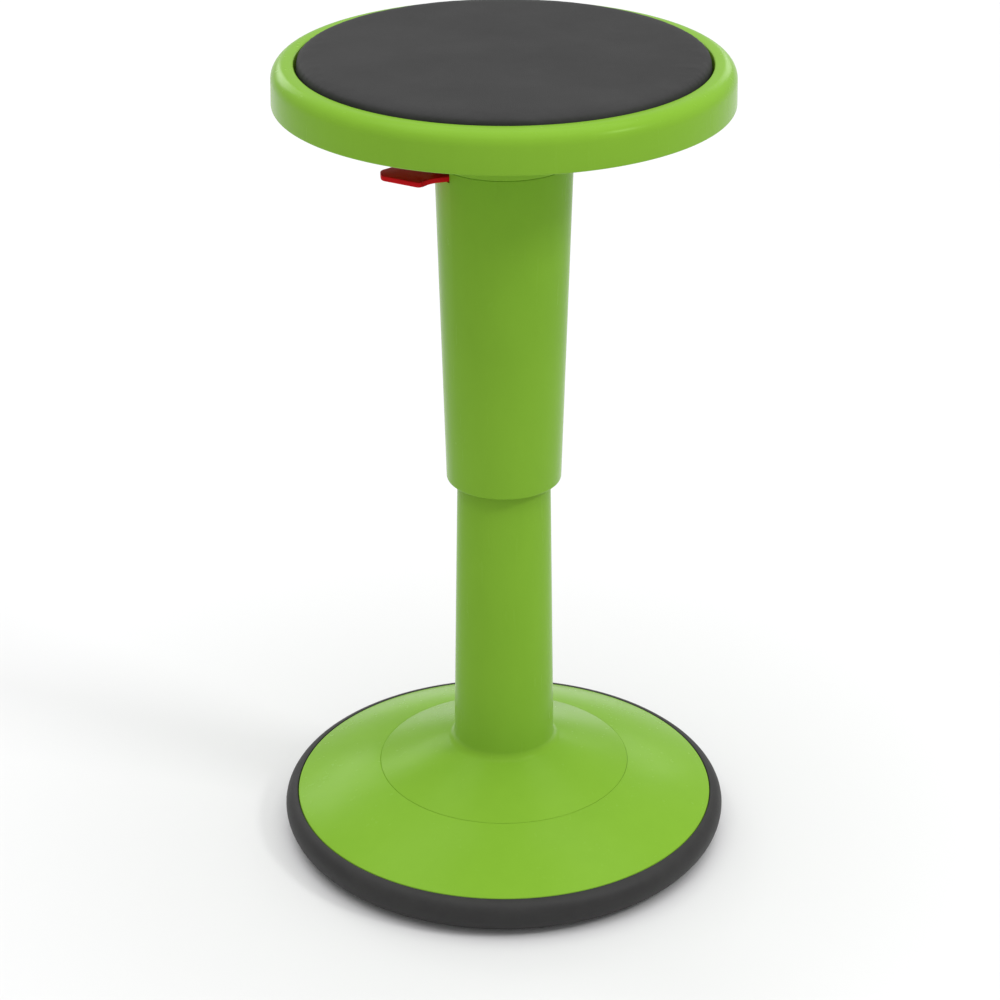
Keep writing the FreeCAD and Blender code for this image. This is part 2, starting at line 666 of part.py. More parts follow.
def lever():
    # A flat paddle with a flared nose, on a knuckle that turns about the pivot pin.
    body = new_body("lever")
    paddle = outline(body, "paddle", "XY_Plane", [
        (-8, -8),
        (30, -12),
        (44, -14),
        (53, -19.5),
        (63, -22.8),
        (92.3, -8.9),
        (94.6, 3),
        (71.8, 27.1, 28, -1),
        (58.2, 19.9),
        (49, 19.4),
        (44, 14),
        (30, 12),
        (-8, 8),
    ], "Dim.lever_z")
    raise_pad(body, paddle, "Dim.lever_plate")
    corners = [(92.3, -8.9), (94.6, 3), (71.8, 27.1), (63, -22.8)]
    base = body.Tip
    names = []
    for index, edge in enumerate(base.Shape.Edges, start=1):
        spot = edge.CenterOfMass
        if any(math.dist((spot.x, spot.y), corner) < 0.1 for corner in corners):
            names.append(f"Edge{index}")
    nose = body.newObject("PartDesign::Fillet", "nose_round")
    nose.Base = (base, names)
    nose.setExpression("Radius", "Dim.lever_nose_round")
    body.Tip = nose
    doc.recompute()
    level = "Dim.lever_z + Dim.lever_plate / 2"
    place = ("Dim.pivot_reach", level)
    knuckle = circle_sketch(body, "knuckle", *place, "Dim.knuckle_radius", 0, plane="XZ_Plane")
    raise_pad(body, knuckle, "Dim.knuckle_width", both_ways=True)
    bore = circle_sketch(body, "pivot_bore", *place, "Dim.pivot_radius + 0.05", 0, plane="XZ_Plane")
    cut_down(body, bore, 60, both_ways=True)
    face_lever(body)


def lever_notch(body, low, high):
    mouth = box_outline("Dim.hub_radius + 4", 60, "-Dim.notch_half", "Dim.notch_half")
    notch = outline(body, f"{body.Label}_notch", "XY_Plane", mouth, high)
    cut_down(body, notch, f"{high} - ({low})")


def upper_column():
    # A sleeve that widens upwards; its spigot snaps into the collar under the seat.
    lip = "Dim.shroud_lip_z"
    top = "Dim.shroud_top - Dim.seam"
    spigot = f"({SHROUD.format('Dim.shroud_top')} - Dim.shroud_wall - Dim.seam)"
    inner = "{0} - Dim.shroud_wall"
    body = turned("upper_column", [
        ("Dim.shroud_lip_radius - Dim.shroud_wall", lip),
        ("Dim.shroud_lip_radius", lip),
        (SHROUD.format(f"({top})"), top),
        (spigot, top),
        (spigot, f"{top} + 14"),
        (f"{spigot} - 2.4", f"{top} + 14"),
        (f"{spigot} - 2.4", f"{top} - 5"),
        (inner.format(SHROUD.format(f"({top} - 9)")), f"{top} - 9"),
    ])
    round_edges(body, [("Dim.shroud_lip_radius", lip)], 1.6)
    lever_notch(body, "Dim.lever_z - 1", f"{top} + 15")
    face_lever(body)


def seat_shell():
    # The moulded shell: skirt and rim, a recess for the pad, a deck, and a collar for the column.
    wall = "Dim.seat_radius - Dim.skin"
    recess = "(Dim.seat_radius - Dim.rim_width)"
    top = "Dim.seat_rim_z"
    body = turned("seat_shell", [
        (0, "Dim.deck_z"),
        (f"{SHROUD.format('Dim.deck_z')} - Dim.shroud_wall", "Dim.deck_z"),
        (f"{SHROUD.format('Dim.shroud_top')} - Dim.shroud_wall", "Dim.shroud_top"),
        (SHROUD.format("Dim.shroud_top"), "Dim.shroud_top"),
        (SHROUD.format("Dim.deck_z"), "Dim.deck_z"),
        (f"{recess} + Dim.skin", "Dim.deck_z"),
        (f"{recess} + Dim.skin", f"{top} - Dim.skin"),
        (f"{wall} - 7", f"{top} - Dim.skin"),
        (f"{wall} - 0.6", f"{top} - 11"),
        (wall, "Dim.seat_edge_z"),
        ("Dim.seat_radius", "Dim.seat_edge_z"),
        ("Dim.seat_radius - 0.6", top),
        (recess, top),
        (recess, "Dim.deck_z + Dim.deck"),
        (0, "Dim.deck_z + Dim.deck"),
    ])
    round_edges(body, [("Dim.seat_radius - 0.6", top)], "Dim.seat_round")
    round_edges(body, [(recess, top), ("Dim.seat_radius", "Dim.seat_edge_z")], 0.8)
    rib = outline(body, "deck_rib", "XZ_Plane", [
        (f"{SHROUD.format('Dim.deck_z')} - 1", "Dim.deck_z + 1"),
        (f"{SHROUD.format('Dim.deck_z')} - 1", "Dim.seat_edge_z - 8"),
        (f"{wall} - 1", "Dim.seat_edge_z + 1.5"),
        (f"{wall} - 1", "Dim.deck_z + 1"),
    ])
    repeat(body, raise_pad(body, rib, "Dim.rib", both_ways=True), 12)
    over = "Dim.deck_z + Dim.deck + 1"
    holes(body, "shell_bolt_hole", "Dim.hub_bolt_pitch", "Dim.hub_bolt_hole", over, 6, 4)
    holes(body, "shell_screw_hole", "Dim.pad_screw_pitch", "Dim.pilot_hole + 0.1", over, 6, 6, first=15)
    lever_notch(body, "Dim.shroud_top - 1", "Dim.shroud_top + 4.6")
    face_lever(body)


def seat_plate():
    low = "Dim.deck_z + Dim.deck"
    body = turned("seat_plate", [
        (0, low),
        ("Dim.plate_radius", low),
        ("Dim.plate_radius", f"{low} + Dim.plate"),
        (0, f"{low} + Dim.plate"),
    ])
    holes(body, "plate_hole", "Dim.hub_bolt_pitch", "Dim.hub_bolt_hole", f"{low} + 4", 6, 4)
    face_lever(body)


def pad_board():
    low = "Dim.board_z"
    top = "Dim.pad_low - 0.2"
    body = turned("pad_board", [
        (0, f"{low} + 6"),
        ("Dim.hub_bolt_pitch + 9", f"{low} + 6"),
        ("Dim.hub_bolt_pitch + 9", low),
        ("Dim.pad_radius - 3", low),
        ("Dim.pad_radius - 3", top),
        (0, top),
    ])
    holes(body, "board_hole", "Dim.pad_screw_pitch", "Dim.pilot_hole - 0.3", f"{low} + 6.5", 7, 6, first=15)
    face_lever(body)


def seat_pad():
    edge = "Dim.pad_radius - 0.3"
    shoulder = "Dim.pad_top - 1.3"
    turned("seat_pad", [
        (0, "Dim.pad_low"),
        (edge, "Dim.pad_low"),
        (edge, f"{shoulder} - Dim.pad_round", "Dim.pad_round", 1),
        (f"{edge} - Dim.pad_round", shoulder, 6200, 1),
        (20, "Dim.pad_top"),
        (0, "Dim.pad_top"),
    ])


def hexagon(body, name, pitch, across, low, height):
    # A hexagonal head or nut, across its flats, at the pitch radius on +X.
    reach = across / math.sqrt(3)
    points = []
    for corner in range(6):
        angle = 60 * corner
        points.append((f"{pitch} + {reach} * cos({angle})", f"{reach} * sin({angle})"))
    sketch = outline(body, name, "XY_Plane", points, low)
    return raise_pad(body, sketch, height)


def hub_bolts():
    pitch = "Dim.hub_bolt_pitch"
    low = "Dim.deck_z - 6"
    body = turned("hub_bolts", [
        (pitch, f"{low} - 1"),
        (f"{pitch} + 3", f"{low} - 1"),
        (f"{pitch} + 3", "Dim.deck_z + 13"),
        (pitch, "Dim.deck_z + 13"),
    ], about=pitch)
    shank = body.Tip
    head = hexagon(body, "bolt_head", pitch, 10, f"{low} - 4.05", 4)
    spread(body, [shank, head])
    body = new_body("plate_nuts")
    nut = hexagon(body, "nut_hexagon", pitch, 10, "Dim.deck_z + Dim.deck + Dim.plate + 0.05", 4.5)
    bore = cut_down(body, circle_sketch(body, "nut_bore", pitch, 0, 3.05, "Dim.deck_z + 14"), 10)
    spread(body, [nut, bore])


def spread(body, features):
    # Repeats a fastener four times and turns the ring to the bolt holes.
    pattern = body.newObject("PartDesign::PolarPattern", f"{body.Label}_ring")
    pattern.Originals = features
    pattern.Axis = (origin_feature(body, "Z_Axis"), [""])
    pattern.Angle = 360
    pattern.Occurrences = 4
    body.Tip = pattern
    doc.recompute()
    turn = 180 + number("Dim.lever_turn") + 45
    body.Placement = FreeCAD.Placement(Vector(), FreeCAD.Rotation(Vector(0, 0, 1), turn))


def pad_screws():
    low = "Dim.deck_z"
    body = screw_ring("pad_screws", "Dim.pad_screw_pitch", 6, [
        (0, f"{low} - 2.4"), (3, f"{low} - 2.2"), (4, f"{low} - 1"), (4, f"{low} - 0.03"),
        (1.75, f"{low} - 0.03"), (1.75, f"{low} + 12.5"), (0, f"{low} + 13.4"),
    ])
    turn = 180 + number("Dim.lever_turn") + 15
    body.Placement = FreeCAD.Placement(Vector(), FreeCAD.Rotation(Vector(0, 0, 1), turn))


rubber_sole()
base_frame()
ballast_ring()
base_disc()
lower_column()
stand_tube()
guide_bush()
guide_ring()
race("lower_race", "Dim.race_z")
race("upper_race", "Dim.race_z + Dim.race + 4")
bottom_cover()
base_screws()
piston_rod()
retaining_clip()
clip_washer()
rod_buffer()
piston()
ball_cage()
bearing_balls()
pressure_tube()
release_button()
seat_hub()
lever_pin()
lever()
upper_column()
seat_shell()
seat_plate()
pad_board()
seat_pad()
hub_bolts()
pad_screws()

doc.recompute()
for item in doc.Objects:
    if "Invalid" in item.State or "Error" in item.State:
        raise ValueError(f"{item.Name} failed: {item.State}")
bodies = [item for item in doc.Objects if item.TypeId == "PartDesign::Body"]
for body in bodies:
    if body.Shape.isNull() or not body.Shape.isValid():
        raise ValueError(f"{body.Label} has no valid shape")

os.makedirs("parts", exist_ok=True)
for body in bodies:
    body.Shape.exportStep(f"parts/{body.Label}.step")
    print(f"{body.Label}: {body.Shape.Volume / 1000:.1f} cm3, {len(body.Shape.Solids)} solid(s)")
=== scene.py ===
import json
import math

import bmesh
import bpy
from mathutils import Matrix, Vector


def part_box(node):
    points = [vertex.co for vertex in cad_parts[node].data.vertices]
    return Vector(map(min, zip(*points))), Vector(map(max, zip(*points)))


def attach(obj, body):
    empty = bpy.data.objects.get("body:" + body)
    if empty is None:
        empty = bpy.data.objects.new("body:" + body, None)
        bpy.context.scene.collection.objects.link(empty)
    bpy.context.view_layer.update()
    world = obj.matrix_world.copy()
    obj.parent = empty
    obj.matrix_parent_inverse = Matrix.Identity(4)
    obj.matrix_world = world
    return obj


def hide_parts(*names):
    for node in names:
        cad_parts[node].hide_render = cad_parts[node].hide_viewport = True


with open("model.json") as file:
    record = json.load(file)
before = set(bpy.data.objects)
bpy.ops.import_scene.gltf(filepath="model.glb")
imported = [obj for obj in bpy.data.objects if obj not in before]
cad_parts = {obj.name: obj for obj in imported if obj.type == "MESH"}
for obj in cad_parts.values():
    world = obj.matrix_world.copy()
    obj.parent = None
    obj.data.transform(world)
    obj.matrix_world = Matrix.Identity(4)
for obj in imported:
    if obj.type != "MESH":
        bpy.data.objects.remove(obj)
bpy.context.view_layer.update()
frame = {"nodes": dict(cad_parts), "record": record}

turnSteps = 180        # facets round a turned piece
leverTurn = math.radians(197)        # where the lever points, about +Z from +X

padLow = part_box("seat_pad")[0]
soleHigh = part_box("rubber_sole")[1]
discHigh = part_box("base_disc")[1]
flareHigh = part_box("lower_column")[1]


def arcBetween(start, end, radius, count):
    # the points between two ends of an arc that bulges to the right of the way from start to end
    begin, finish = Vector(start), Vector(end)
    way = finish - begin
    right = Vector((way.y, -way.x)).normalized()
    centre = (begin + finish) / 2 - right * math.sqrt(radius ** 2 - way.length_squared / 4)
    first = begin - centre
    sweep = first.angle(finish - centre)
    points = []
    for step in range(1, count):
        angle = sweep * step / count
        points.append((centre.x + first.x * math.cos(angle) - first.y * math.sin(angle),
                       centre.y + first.x * math.sin(angle) + first.y * math.cos(angle)))
    return points


def bevelReach(before, corner, after, radius):
    # how far a rounding of this radius reaches along the sides of a corner
    first = Vector(before) - Vector(corner)
    second = Vector(after) - Vector(corner)
    return radius / math.tan(first.angle(second) / 2)


def bevelEdges(mesh, edges, reach, segments):
    bmesh.ops.bevel(mesh, geom=edges, offset=reach, offset_type="OFFSET", segments=segments, profile=0.5,
                    affect="EDGES", material=-1)


def bevelRing(mesh, radius, height, reach, segments):
    near = 1e-5

    def onRing(vert):
        return abs(math.hypot(vert.co.x, vert.co.y) - radius) < near and abs(vert.co.z - height) < near
    ring = [edge for edge in mesh.edges if onRing(edge.verts[0]) and onRing(edge.verts[1])]
    bevelEdges(mesh, ring, reach, segments)


def turnedMesh(corners, steps=turnSteps):
    # corners go round a closed section: (radius, height) or (radius, height, rounding, segments)
    mesh = bmesh.new()
    ring = [mesh.verts.new((corner[0], 0, corner[1])) for corner in corners]
    edges = [mesh.edges.new((ring[i], ring[(i + 1) % len(ring)])) for i in range(len(ring))]
    bmesh.ops.spin(mesh, geom=ring + edges, cent=(0, 0, 0), axis=(0, 0, 1), angle=2 * math.pi,
                   steps=steps, use_merge=True)
    bmesh.ops.remove_doubles(mesh, verts=mesh.verts, dist=1e-6)
    loose = [edge for edge in mesh.edges if not edge.link_faces]
    if loose:
        bmesh.ops.delete(mesh, geom=loose, context="EDGES")
    bmesh.ops.recalc_face_normals(mesh, faces=mesh.faces)
    for index, corner in enumerate(corners):
        if len(corner) == 4:
            before = corners[index - 1][:2]
            after = corners[(index + 1) % len(corners)][:2]
            reach = bevelReach(before, corner[:2], after, corner[2])
            bevelRing(mesh, corner[0], corner[1], reach, corner[3])
    return mesh


def boxMesh(low, high, turn):
    mesh = bmesh.new()
    bmesh.ops.create_cube(mesh, size=1)
    size = [high[axis] - low[axis] for axis in range(3)]
    middle = [(high[axis] + low[axis]) / 2 for axis in range(3)]
    bmesh.ops.scale(mesh, vec=size, verts=mesh.verts)
    bmesh.ops.translate(mesh, vec=middle, verts=mesh.verts)
    bmesh.ops.rotate(mesh, cent=(0, 0, 0), matrix=Matrix.Rotation(turn, 3, "Z"), verts=mesh.verts)
    return mesh


def looseObject(name, mesh):
    bmesh.ops.recalc_face_normals(mesh, faces=mesh.faces)
    data = bpy.data.meshes.new(name)
    mesh.to_mesh(data)
    mesh.free()
    thing = bpy.data.objects.new(name, data)
    bpy.context.scene.collection.objects.link(thing)
    return thing


def applyModifiers(thing):
    # the object keeps the mesh that its modifiers make
    graph = bpy.context.evaluated_depsgraph_get()
    graph.update()
    shaped = bpy.data.meshes.new_from_object(thing.evaluated_get(graph))
    thing.modifiers.clear()
    thing.data = shaped


def cutWith(thing, cutterMesh):
    cutter = looseObject("cutter", cutterMesh)
    cut = thing.modifiers.new("cut", "BOOLEAN")
    cut.operation = "DIFFERENCE"
    cut.solver = "EXACT"
    cut.object = cutter
    applyModifiers(thing)
    bpy.data.objects.remove(cutter)


def finishPiece(thing, body, nodes, slotName, sharp=35):
    # sharp is the angle in degrees past which an edge stays crisp
    mesh = bmesh.new()
    mesh.from_mesh(thing.data)
    bmesh.ops.remove_doubles(mesh, verts=mesh.verts, dist=2e-6)
    mesh.to_mesh(thing.data)
    mesh.free()
    thing.data.materials.clear()
    thing.data.materials.append(slotFinish[slotName])
    thing.data.shade_smooth()
    thing.data.set_sharp_from_angle(angle=math.radians(sharp))
    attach(thing, body)
    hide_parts(*nodes)
    print("made", thing.name, len(thing.data.polygons), "faces")


class Signal:
    # a socket that takes part in plain arithmetic
    def __init__(self, finish, socket):
        self.finish = finish
        self.socket = socket

    def combine(self, operation, first, second):
        return self.finish.add("ShaderNodeMath", {"operation": operation}, {0: first, 1: second})

    def __add__(self, other):
        return self.combine("ADD", self, other)

    def __radd__(self, other):
        return self.combine("ADD", other, self)

    def __mul__(self, other):
        return self.combine("MULTIPLY", self, other)

    def __rmul__(self, other):
        return self.combine("MULTIPLY", other, self)


class Finish:
    # a node material with one Principled shader, patterned on Object coordinates in metres
    def __init__(self, name, **sockets):
        self.material = bpy.data.materials.new(name)
        self.material.use_nodes = True
        self.nodes = self.material.node_tree.nodes
        self.links = self.material.node_tree.links
        self.shader = self.nodes["Principled BSDF"]
        for socket, value in sockets.items():
            self.shader.inputs[socket.replace("_", " ")].default_value = value
        self.place = self.add("ShaderNodeTexCoord", output="Object")

    def add(self, kind, settings=None, sockets=None, output=0):
        node = self.nodes.new(kind)
        for key, value in (settings or {}).items():
            if key == "stops":
                for element, (position, tone) in zip(node.color_ramp.elements, value):
                    element.position = position
                    element.color = (tone, tone, tone, 1)
            else:
                setattr(node, key, value)
        for key, value in (sockets or {}).items():
            if isinstance(value, Signal):
                self.links.new(value.socket, node.inputs[key])
            else:
                node.inputs[key].default_value = value
        return Signal(self, node.outputs[output])

    def feed(self, socket, signal):
        self.links.new(signal.socket, self.shader.inputs[socket])

    def stretched(self, scale):
        return self.add("ShaderNodeMapping", {"vector_type": "POINT"}, {"Vector": self.place, "Scale": scale})

    def noise(self, scale, detail=3, roughness=0.5, place=None):
        return self.add("ShaderNodeTexNoise", {}, {
            "Vector": place or self.place, "Scale": scale, "Detail": detail, "Roughness": roughness})

    def cells(self, scale, feature="F1"):
        return self.add("ShaderNodeTexVoronoi", {"feature": feature},
                        {"Vector": self.place, "Scale": scale}, output="Distance")

    def ramp(self, signal, dark, light):
        # nothing below dark, all of it above light
        return self.add("ShaderNodeValToRGB", {"stops": [(dark, 0.0), (light, 1.0)]}, {"Fac": signal},
                        output="Color")

    def mixed(self, mask, first, second):
        return self.add("ShaderNodeMix", {"data_type": "RGBA"}, {0: mask, 6: first, 7: second}, output=2)

    def relief(self, height, strength, distance):
        bump = self.add("ShaderNodeBump", {}, {"Height": height, "Strength": strength, "Distance": distance},
                        output="Normal")
        self.feed("Normal", bump)


def shade(red, green, blue):
    return (red, green, blue, 1.0)


def mouldedGreen():
    look = {"colour": shade(0.212, 0.425, 0.034), "deep": shade(0.202, 0.409, 0.032), "gloss": 0.23,
            "cloud": 14, "streaks": 90, "rub": 38, "scratches": 260, "pores": 2600, "ripple": 420}
    finish = Finish("limeMoulding", IOR=1.49, Specular_IOR_Level=0.10, Specular_Tint=shade(0.70, 1.0, 0.40))
    streaks = finish.noise(look["streaks"], 2, place=finish.stretched((1, 1, 0.25)))
    cloud = finish.ramp(finish.noise(look["cloud"]) * 0.7 + streaks * 0.3, 0.35, 0.65)
    finish.feed("Base Color", finish.mixed(cloud, look["deep"], look["colour"]))
    rubbed = finish.ramp(finish.noise(look["rub"], 5, 0.65), 0.45, 0.75)
    scratches = finish.noise(look["scratches"], 2, place=finish.stretched((1, 1, 0.06)))
    finish.feed("Roughness", rubbed * 0.05 + finish.ramp(scratches, 0.60, 0.72) * 0.04 + look["gloss"])
    finish.relief(finish.noise(look["pores"], 2) * 0.7 + finish.noise(look["ripple"], 2) * 0.3, 0.07, 0.0003)
    return finish.material


def padVinyl():
    look = {"colour": shade(0.030, 0.030, 0.030), "worn": shade(0.041, 0.041, 0.041), "gloss": 0.59,
            "wear": 11, "patches": 24, "leather": 780, "pores": 1500}
    finish = Finish("charcoalPadCover", IOR=1.45, Specular_IOR_Level=0.16)
    wear = finish.ramp(finish.noise(look["wear"], 4, 0.6), 0.35, 0.70)
    leather = finish.ramp(finish.cells(look["leather"], "DISTANCE_TO_EDGE"), 0.0, 0.16)
    finish.feed("Base Color", finish.mixed(wear * 0.65 + leather * 0.35, look["colour"], look["worn"]))
    finish.feed("Roughness", finish.noise(look["patches"], 4) * 0.14 + look["gloss"])
    finish.relief(leather * 0.8 + finish.cells(look["pores"]) * 0.2, 0.28, 0.0003)
    return finish.material


def soleRubber():
    look = {"colour": shade(0.029, 0.0285, 0.0285), "dusty": shade(0.047, 0.046, 0.045), "gloss": 0.46,
            "dust": 26, "smudges": 180, "grain": 1500, "ripple": 240}
    finish = Finish("darkSoleRubber", IOR=1.5, Specular_IOR_Level=0.20)
    dust = finish.ramp(finish.noise(look["dust"], 5, 0.7), 0.42, 0.78)
    finish.feed("Base Color", finish.mixed(dust * 0.6, look["colour"], look["dusty"]))
    finish.feed("Roughness", dust * 0.16 + finish.noise(look["smudges"]) * 0.08 + look["gloss"])
    grain = finish.noise(look["grain"], 3, 0.6) * 0.7 + finish.noise(look["ripple"], 2) * 0.3
    finish.relief(grain, 0.22, 0.0004)
    return finish.material


def mouldedRed():
    look = {"colour": shade(0.600, 0.012, 0.015), "deep": shade(0.530, 0.010, 0.013), "gloss": 0.25,
            "cloud": 60, "smudges": 120, "pores": 2200}
    finish = Finish("signalRedMoulding", IOR=1.49, Specular_IOR_Level=0.02,
                    Specular_Tint=shade(1.0, 0.35, 0.35))
    cloud = finish.ramp(finish.noise(look["cloud"]), 0.35, 0.70)
    finish.feed("Base Color", finish.mixed(cloud, look["deep"], look["colour"]))
    finish.feed("Roughness", finish.noise(look["smudges"], 4) * 0.14 + look["gloss"])
    finish.relief(finish.noise(look["pores"], 2), 0.14, 0.0003)
    return finish.material


def metal(name, colour, gloss, grainScale, grainStretch, depth):
    # a drawn or ground grain with paler streaks
    finish = Finish(name, Metallic=1.0)
    grain = finish.noise(grainScale, place=finish.stretched(grainStretch))
    pale = shade(*[min(1.0, part * 1.25) for part in colour])
    finish.feed("Base Color", finish.mixed(finish.ramp(grain, 0.3, 0.7), shade(*colour), pale))
    finish.feed("Roughness", grain * 0.2 + (gloss - 0.1))
    finish.relief(grain, depth, 0.0002)
    return finish.material


def coated(name, colour, gloss, grainScale=900, depth=0.2):
    # paint, nylon and other dull coats with a fine skin
    finish = Finish(name, Specular_IOR_Level=0.35)
    pale = shade(*[min(1.0, part * 1.3 + 0.004) for part in colour])
    cloud = finish.ramp(finish.noise(30, 4), 0.35, 0.7)
    finish.feed("Base Color", finish.mixed(cloud, shade(*colour), pale))
    finish.feed("Roughness", finish.noise(160) * 0.16 + (gloss - 0.08))
    finish.relief(finish.noise(grainScale, 3, 0.6), depth, 0.0003)
    return finish.material


def plywood():
    look = {"pale": shade(0.62, 0.46, 0.27), "dark": shade(0.36, 0.23, 0.11), "gloss": 0.5, "grain": 55,
            "plies": 210.0}
    finish = Finish("birchPlywood", Specular_IOR_Level=0.3)
    grain = finish.noise(look["grain"], 6, 0.65, place=finish.stretched((1.0, 9.0, 9.0)))
    plies = finish.add("ShaderNodeTexWave", {"bands_direction": "Z"},
                       {"Vector": finish.place, "Scale": look["plies"], "Distortion": 0.4}, output=1)
    tone = finish.ramp(grain * 0.7 + plies * 0.3, 0.3, 0.75)
    finish.feed("Base Color", finish.mixed(tone, look["dark"], look["pale"]))
    finish.feed("Roughness", grain * 0.2 + look["gloss"])
    finish.relief(grain, 0.3, 0.0004)
    return finish.material


slotFinish = {
    "green_plastic": mouldedGreen(),
    "pad_cover": padVinyl(),
    "rubber": soleRubber(),
    "red_plastic": mouldedRed(),
    "black_plastic": coated("blackMoulding", (0.022, 0.022, 0.023), 0.55, 700, 0.35),
    "black_steel": coated("blackPaint", (0.020, 0.020, 0.022), 0.42, 500, 0.15),
    "cast_iron": coated("castIronSkin", (0.085, 0.083, 0.080), 0.75, 420, 0.7),
    "steel": metal("groundSteel", (0.52, 0.52, 0.53), 0.30, 400, (1, 1, 12), 0.2),
    "zinc_steel": metal("brightZinc", (0.60, 0.60, 0.57), 0.36, 700, (1, 1, 1), 0.25),
    "chrome": metal("hardChrome", (0.72, 0.72, 0.73), 0.16, 300, (1, 1, 20), 0.05),
    "aluminium": metal("dieCastAlloy", (0.55, 0.55, 0.56), 0.48, 850, (1, 1, 1), 0.4),
    "nylon": coated("naturalNylon", (0.60, 0.58, 0.50), 0.5),
    "dark_nylon": coated("blackNylon", (0.030, 0.030, 0.031), 0.45),
    "buffer_rubber": coated("bufferRubber", (0.016, 0.016, 0.016), 0.7),
    "wood": plywood(),
}
slotOfNode = {row["node"]: row["material_slot"] for row in frame["record"]["subparts"]}
for nodeName, node in frame["nodes"].items():
    node.data.materials.clear()
    node.data.materials.append(slotFinish[slotOfNode[nodeName]])
print("finishes on", len(frame["nodes"]), "nodes")

# lengths are in metres from here, and a rounding is its radius and its number of segments
cone = {"edge": 0.1686, "height": 0.0315, "slope": 0.367}
wall = 0.0034        # moulded wall
sleeve = {"lip": 0.0446, "lipHeight": 0.311, "taper": 0.0273, "wall": 0.0028, "top": 0.570, "seam": 0.00006}


def coneAt(radius):
    # height of the base cone's outer face
    return cone["height"] + (cone["edge"] - radius) * cone["slope"]


def sleeveAt(height):
    # radius of the upper column, which widens upwards
    return sleeve["lip"] + sleeve["taper"] * (height - sleeve["lipHeight"])


def treadAt(radius, sole):
    # height of the underside, which is flat in the middle and rocks outside it
    return sole["rocker"] - math.sqrt(sole["rocker"] ** 2 - max(0.0, radius - sole["flat"]) ** 2)


def treadGroove(radius, sole):
    # the corners of a groove cut up into the underside, from the inside out
    half, depth = sole["grooveWidth"] / 2, sole["grooveDepth"]
    slope = depth * sole["grooveSlope"]
    roof = treadAt(radius, sole) + depth
    return [(radius - half, treadAt(radius - half, sole)), (radius - half + slope, roof),
            (radius + half - slope, roof), (radius + half, treadAt(radius + half, sole))]


def makeSole():
    sole = {"bore": 0.062, "boreRound": (0.0015, 3), "flat": 0.105, "corner": 0.1722, "rocker": 0.409,
            "widest": 0.0215, "lowRound": 0.0193, "highRound": 0.0115, "arcSteps": 8, "floor": 0.008,
            "inside": 0.160, "shelf": 0.024, "lip": 0.0316, "lipRound": (0.0005, 2), "lipGap": 0.0005,
            "grooves": (0.071, 0.079, 0.087, 0.095, 0.112, 0.122, 0.132, 0.142, 0.152, 0.162),
            "grooveWidth": 0.0024, "grooveDepth": 0.0012, "grooveSlope": 0.3}
    corner = (sole["corner"], treadAt(sole["corner"], sole))
    widest = (soleHigh.x, sole["widest"])
    top = (discHigh.x + sole["lipGap"], sole["lip"])
    section = [(sole["bore"], 0.0, *sole["boreRound"])]
    for radius in sole["grooves"]:
        section += treadGroove(radius, sole)
    section.append(corner)
    section += arcBetween(corner, widest, sole["lowRound"], sole["arcSteps"]) + [widest]
    section += arcBetween(widest, top, sole["highRound"], sole["arcSteps"])
    section += [(*top, *sole["lipRound"]), (top[0], sole["shelf"]), (sole["inside"], sole["shelf"]),
                (sole["inside"], sole["floor"]), (sole["bore"], sole["floor"])]
    piece = looseObject("rubberSole", turnedMesh(section))
    finishPiece(piece, "base", ["rubber_sole"], "rubber", 50)


def makeDisc():
    # the outer ring of the cone, with a ledge that the column's flare lies on
    disc = {"edge": cone["edge"], "edgeRound": (0.0010, 4), "inner": 0.10086, "innerRound": (0.0004, 3),
            "ledge": 0.0908, "ledgeGap": 0.0003, "step": 0.004, "lip": 0.0241, "lipRound": (0.0006, 2)}
    edge, inner, ledge = disc["edge"], disc["inner"], disc["ledge"]
    step = inner + disc["step"]
    section = [
        (inner, coneAt(inner), *disc["innerRound"]),
        (edge, coneAt(edge), *disc["edgeRound"]),
        (edge, disc["lip"], *disc["lipRound"]),
        (edge - wall, disc["lip"]),
        (edge - wall, coneAt(edge - wall) - wall),
        (step, coneAt(step) - wall),
        (inner, coneAt(inner) - 2 * wall),
        (ledge, coneAt(ledge) - 2 * wall),
        (ledge, coneAt(ledge) - wall - disc["ledgeGap"]),
        (inner, coneAt(inner) - wall - disc["ledgeGap"]),
    ]
    piece = looseObject("baseDisc", turnedMesh(section))
    finishPiece(piece, "base", ["base_disc"], "green_plastic")


def makeLowerColumn():
    column = {"flare": 0.1008, "flareRound": (0.0004, 3), "foot": 0.0403, "footRound": (0.008, 10),
              "insideRound": (0.008, 6), "wall": 0.003, "base": 0.04164, "taper": 0.017,
              "topRound": (0.001, 3)}
    top = flareHigh.z
    topRadius = column["base"] - column["taper"] * top
    inner = column["foot"] - column["wall"]
    section = [
        (column["flare"], coneAt(column["flare"]) - wall),
        (column["flare"], coneAt(column["flare"]), *column["flareRound"]),
        (column["foot"], coneAt(column["foot"]), *column["footRound"]),
        (topRadius, top, *column["topRound"]),
        (topRadius - column["wall"], top),
        (inner, coneAt(inner) - wall, *column["insideRound"]),
    ]
    piece = looseObject("lowerColumn", turnedMesh(section))
    finishPiece(piece, "base", ["lower_column"], "green_plastic")


def leverNotch(low, high):
    # a block that cuts the opening for the lever
    notch = {"near": 0.038, "far": 0.060, "left": -0.0203, "right": 0.0198}
    return boxMesh((notch["near"], notch["left"], low), (notch["far"], notch["right"], high), leverTurn)


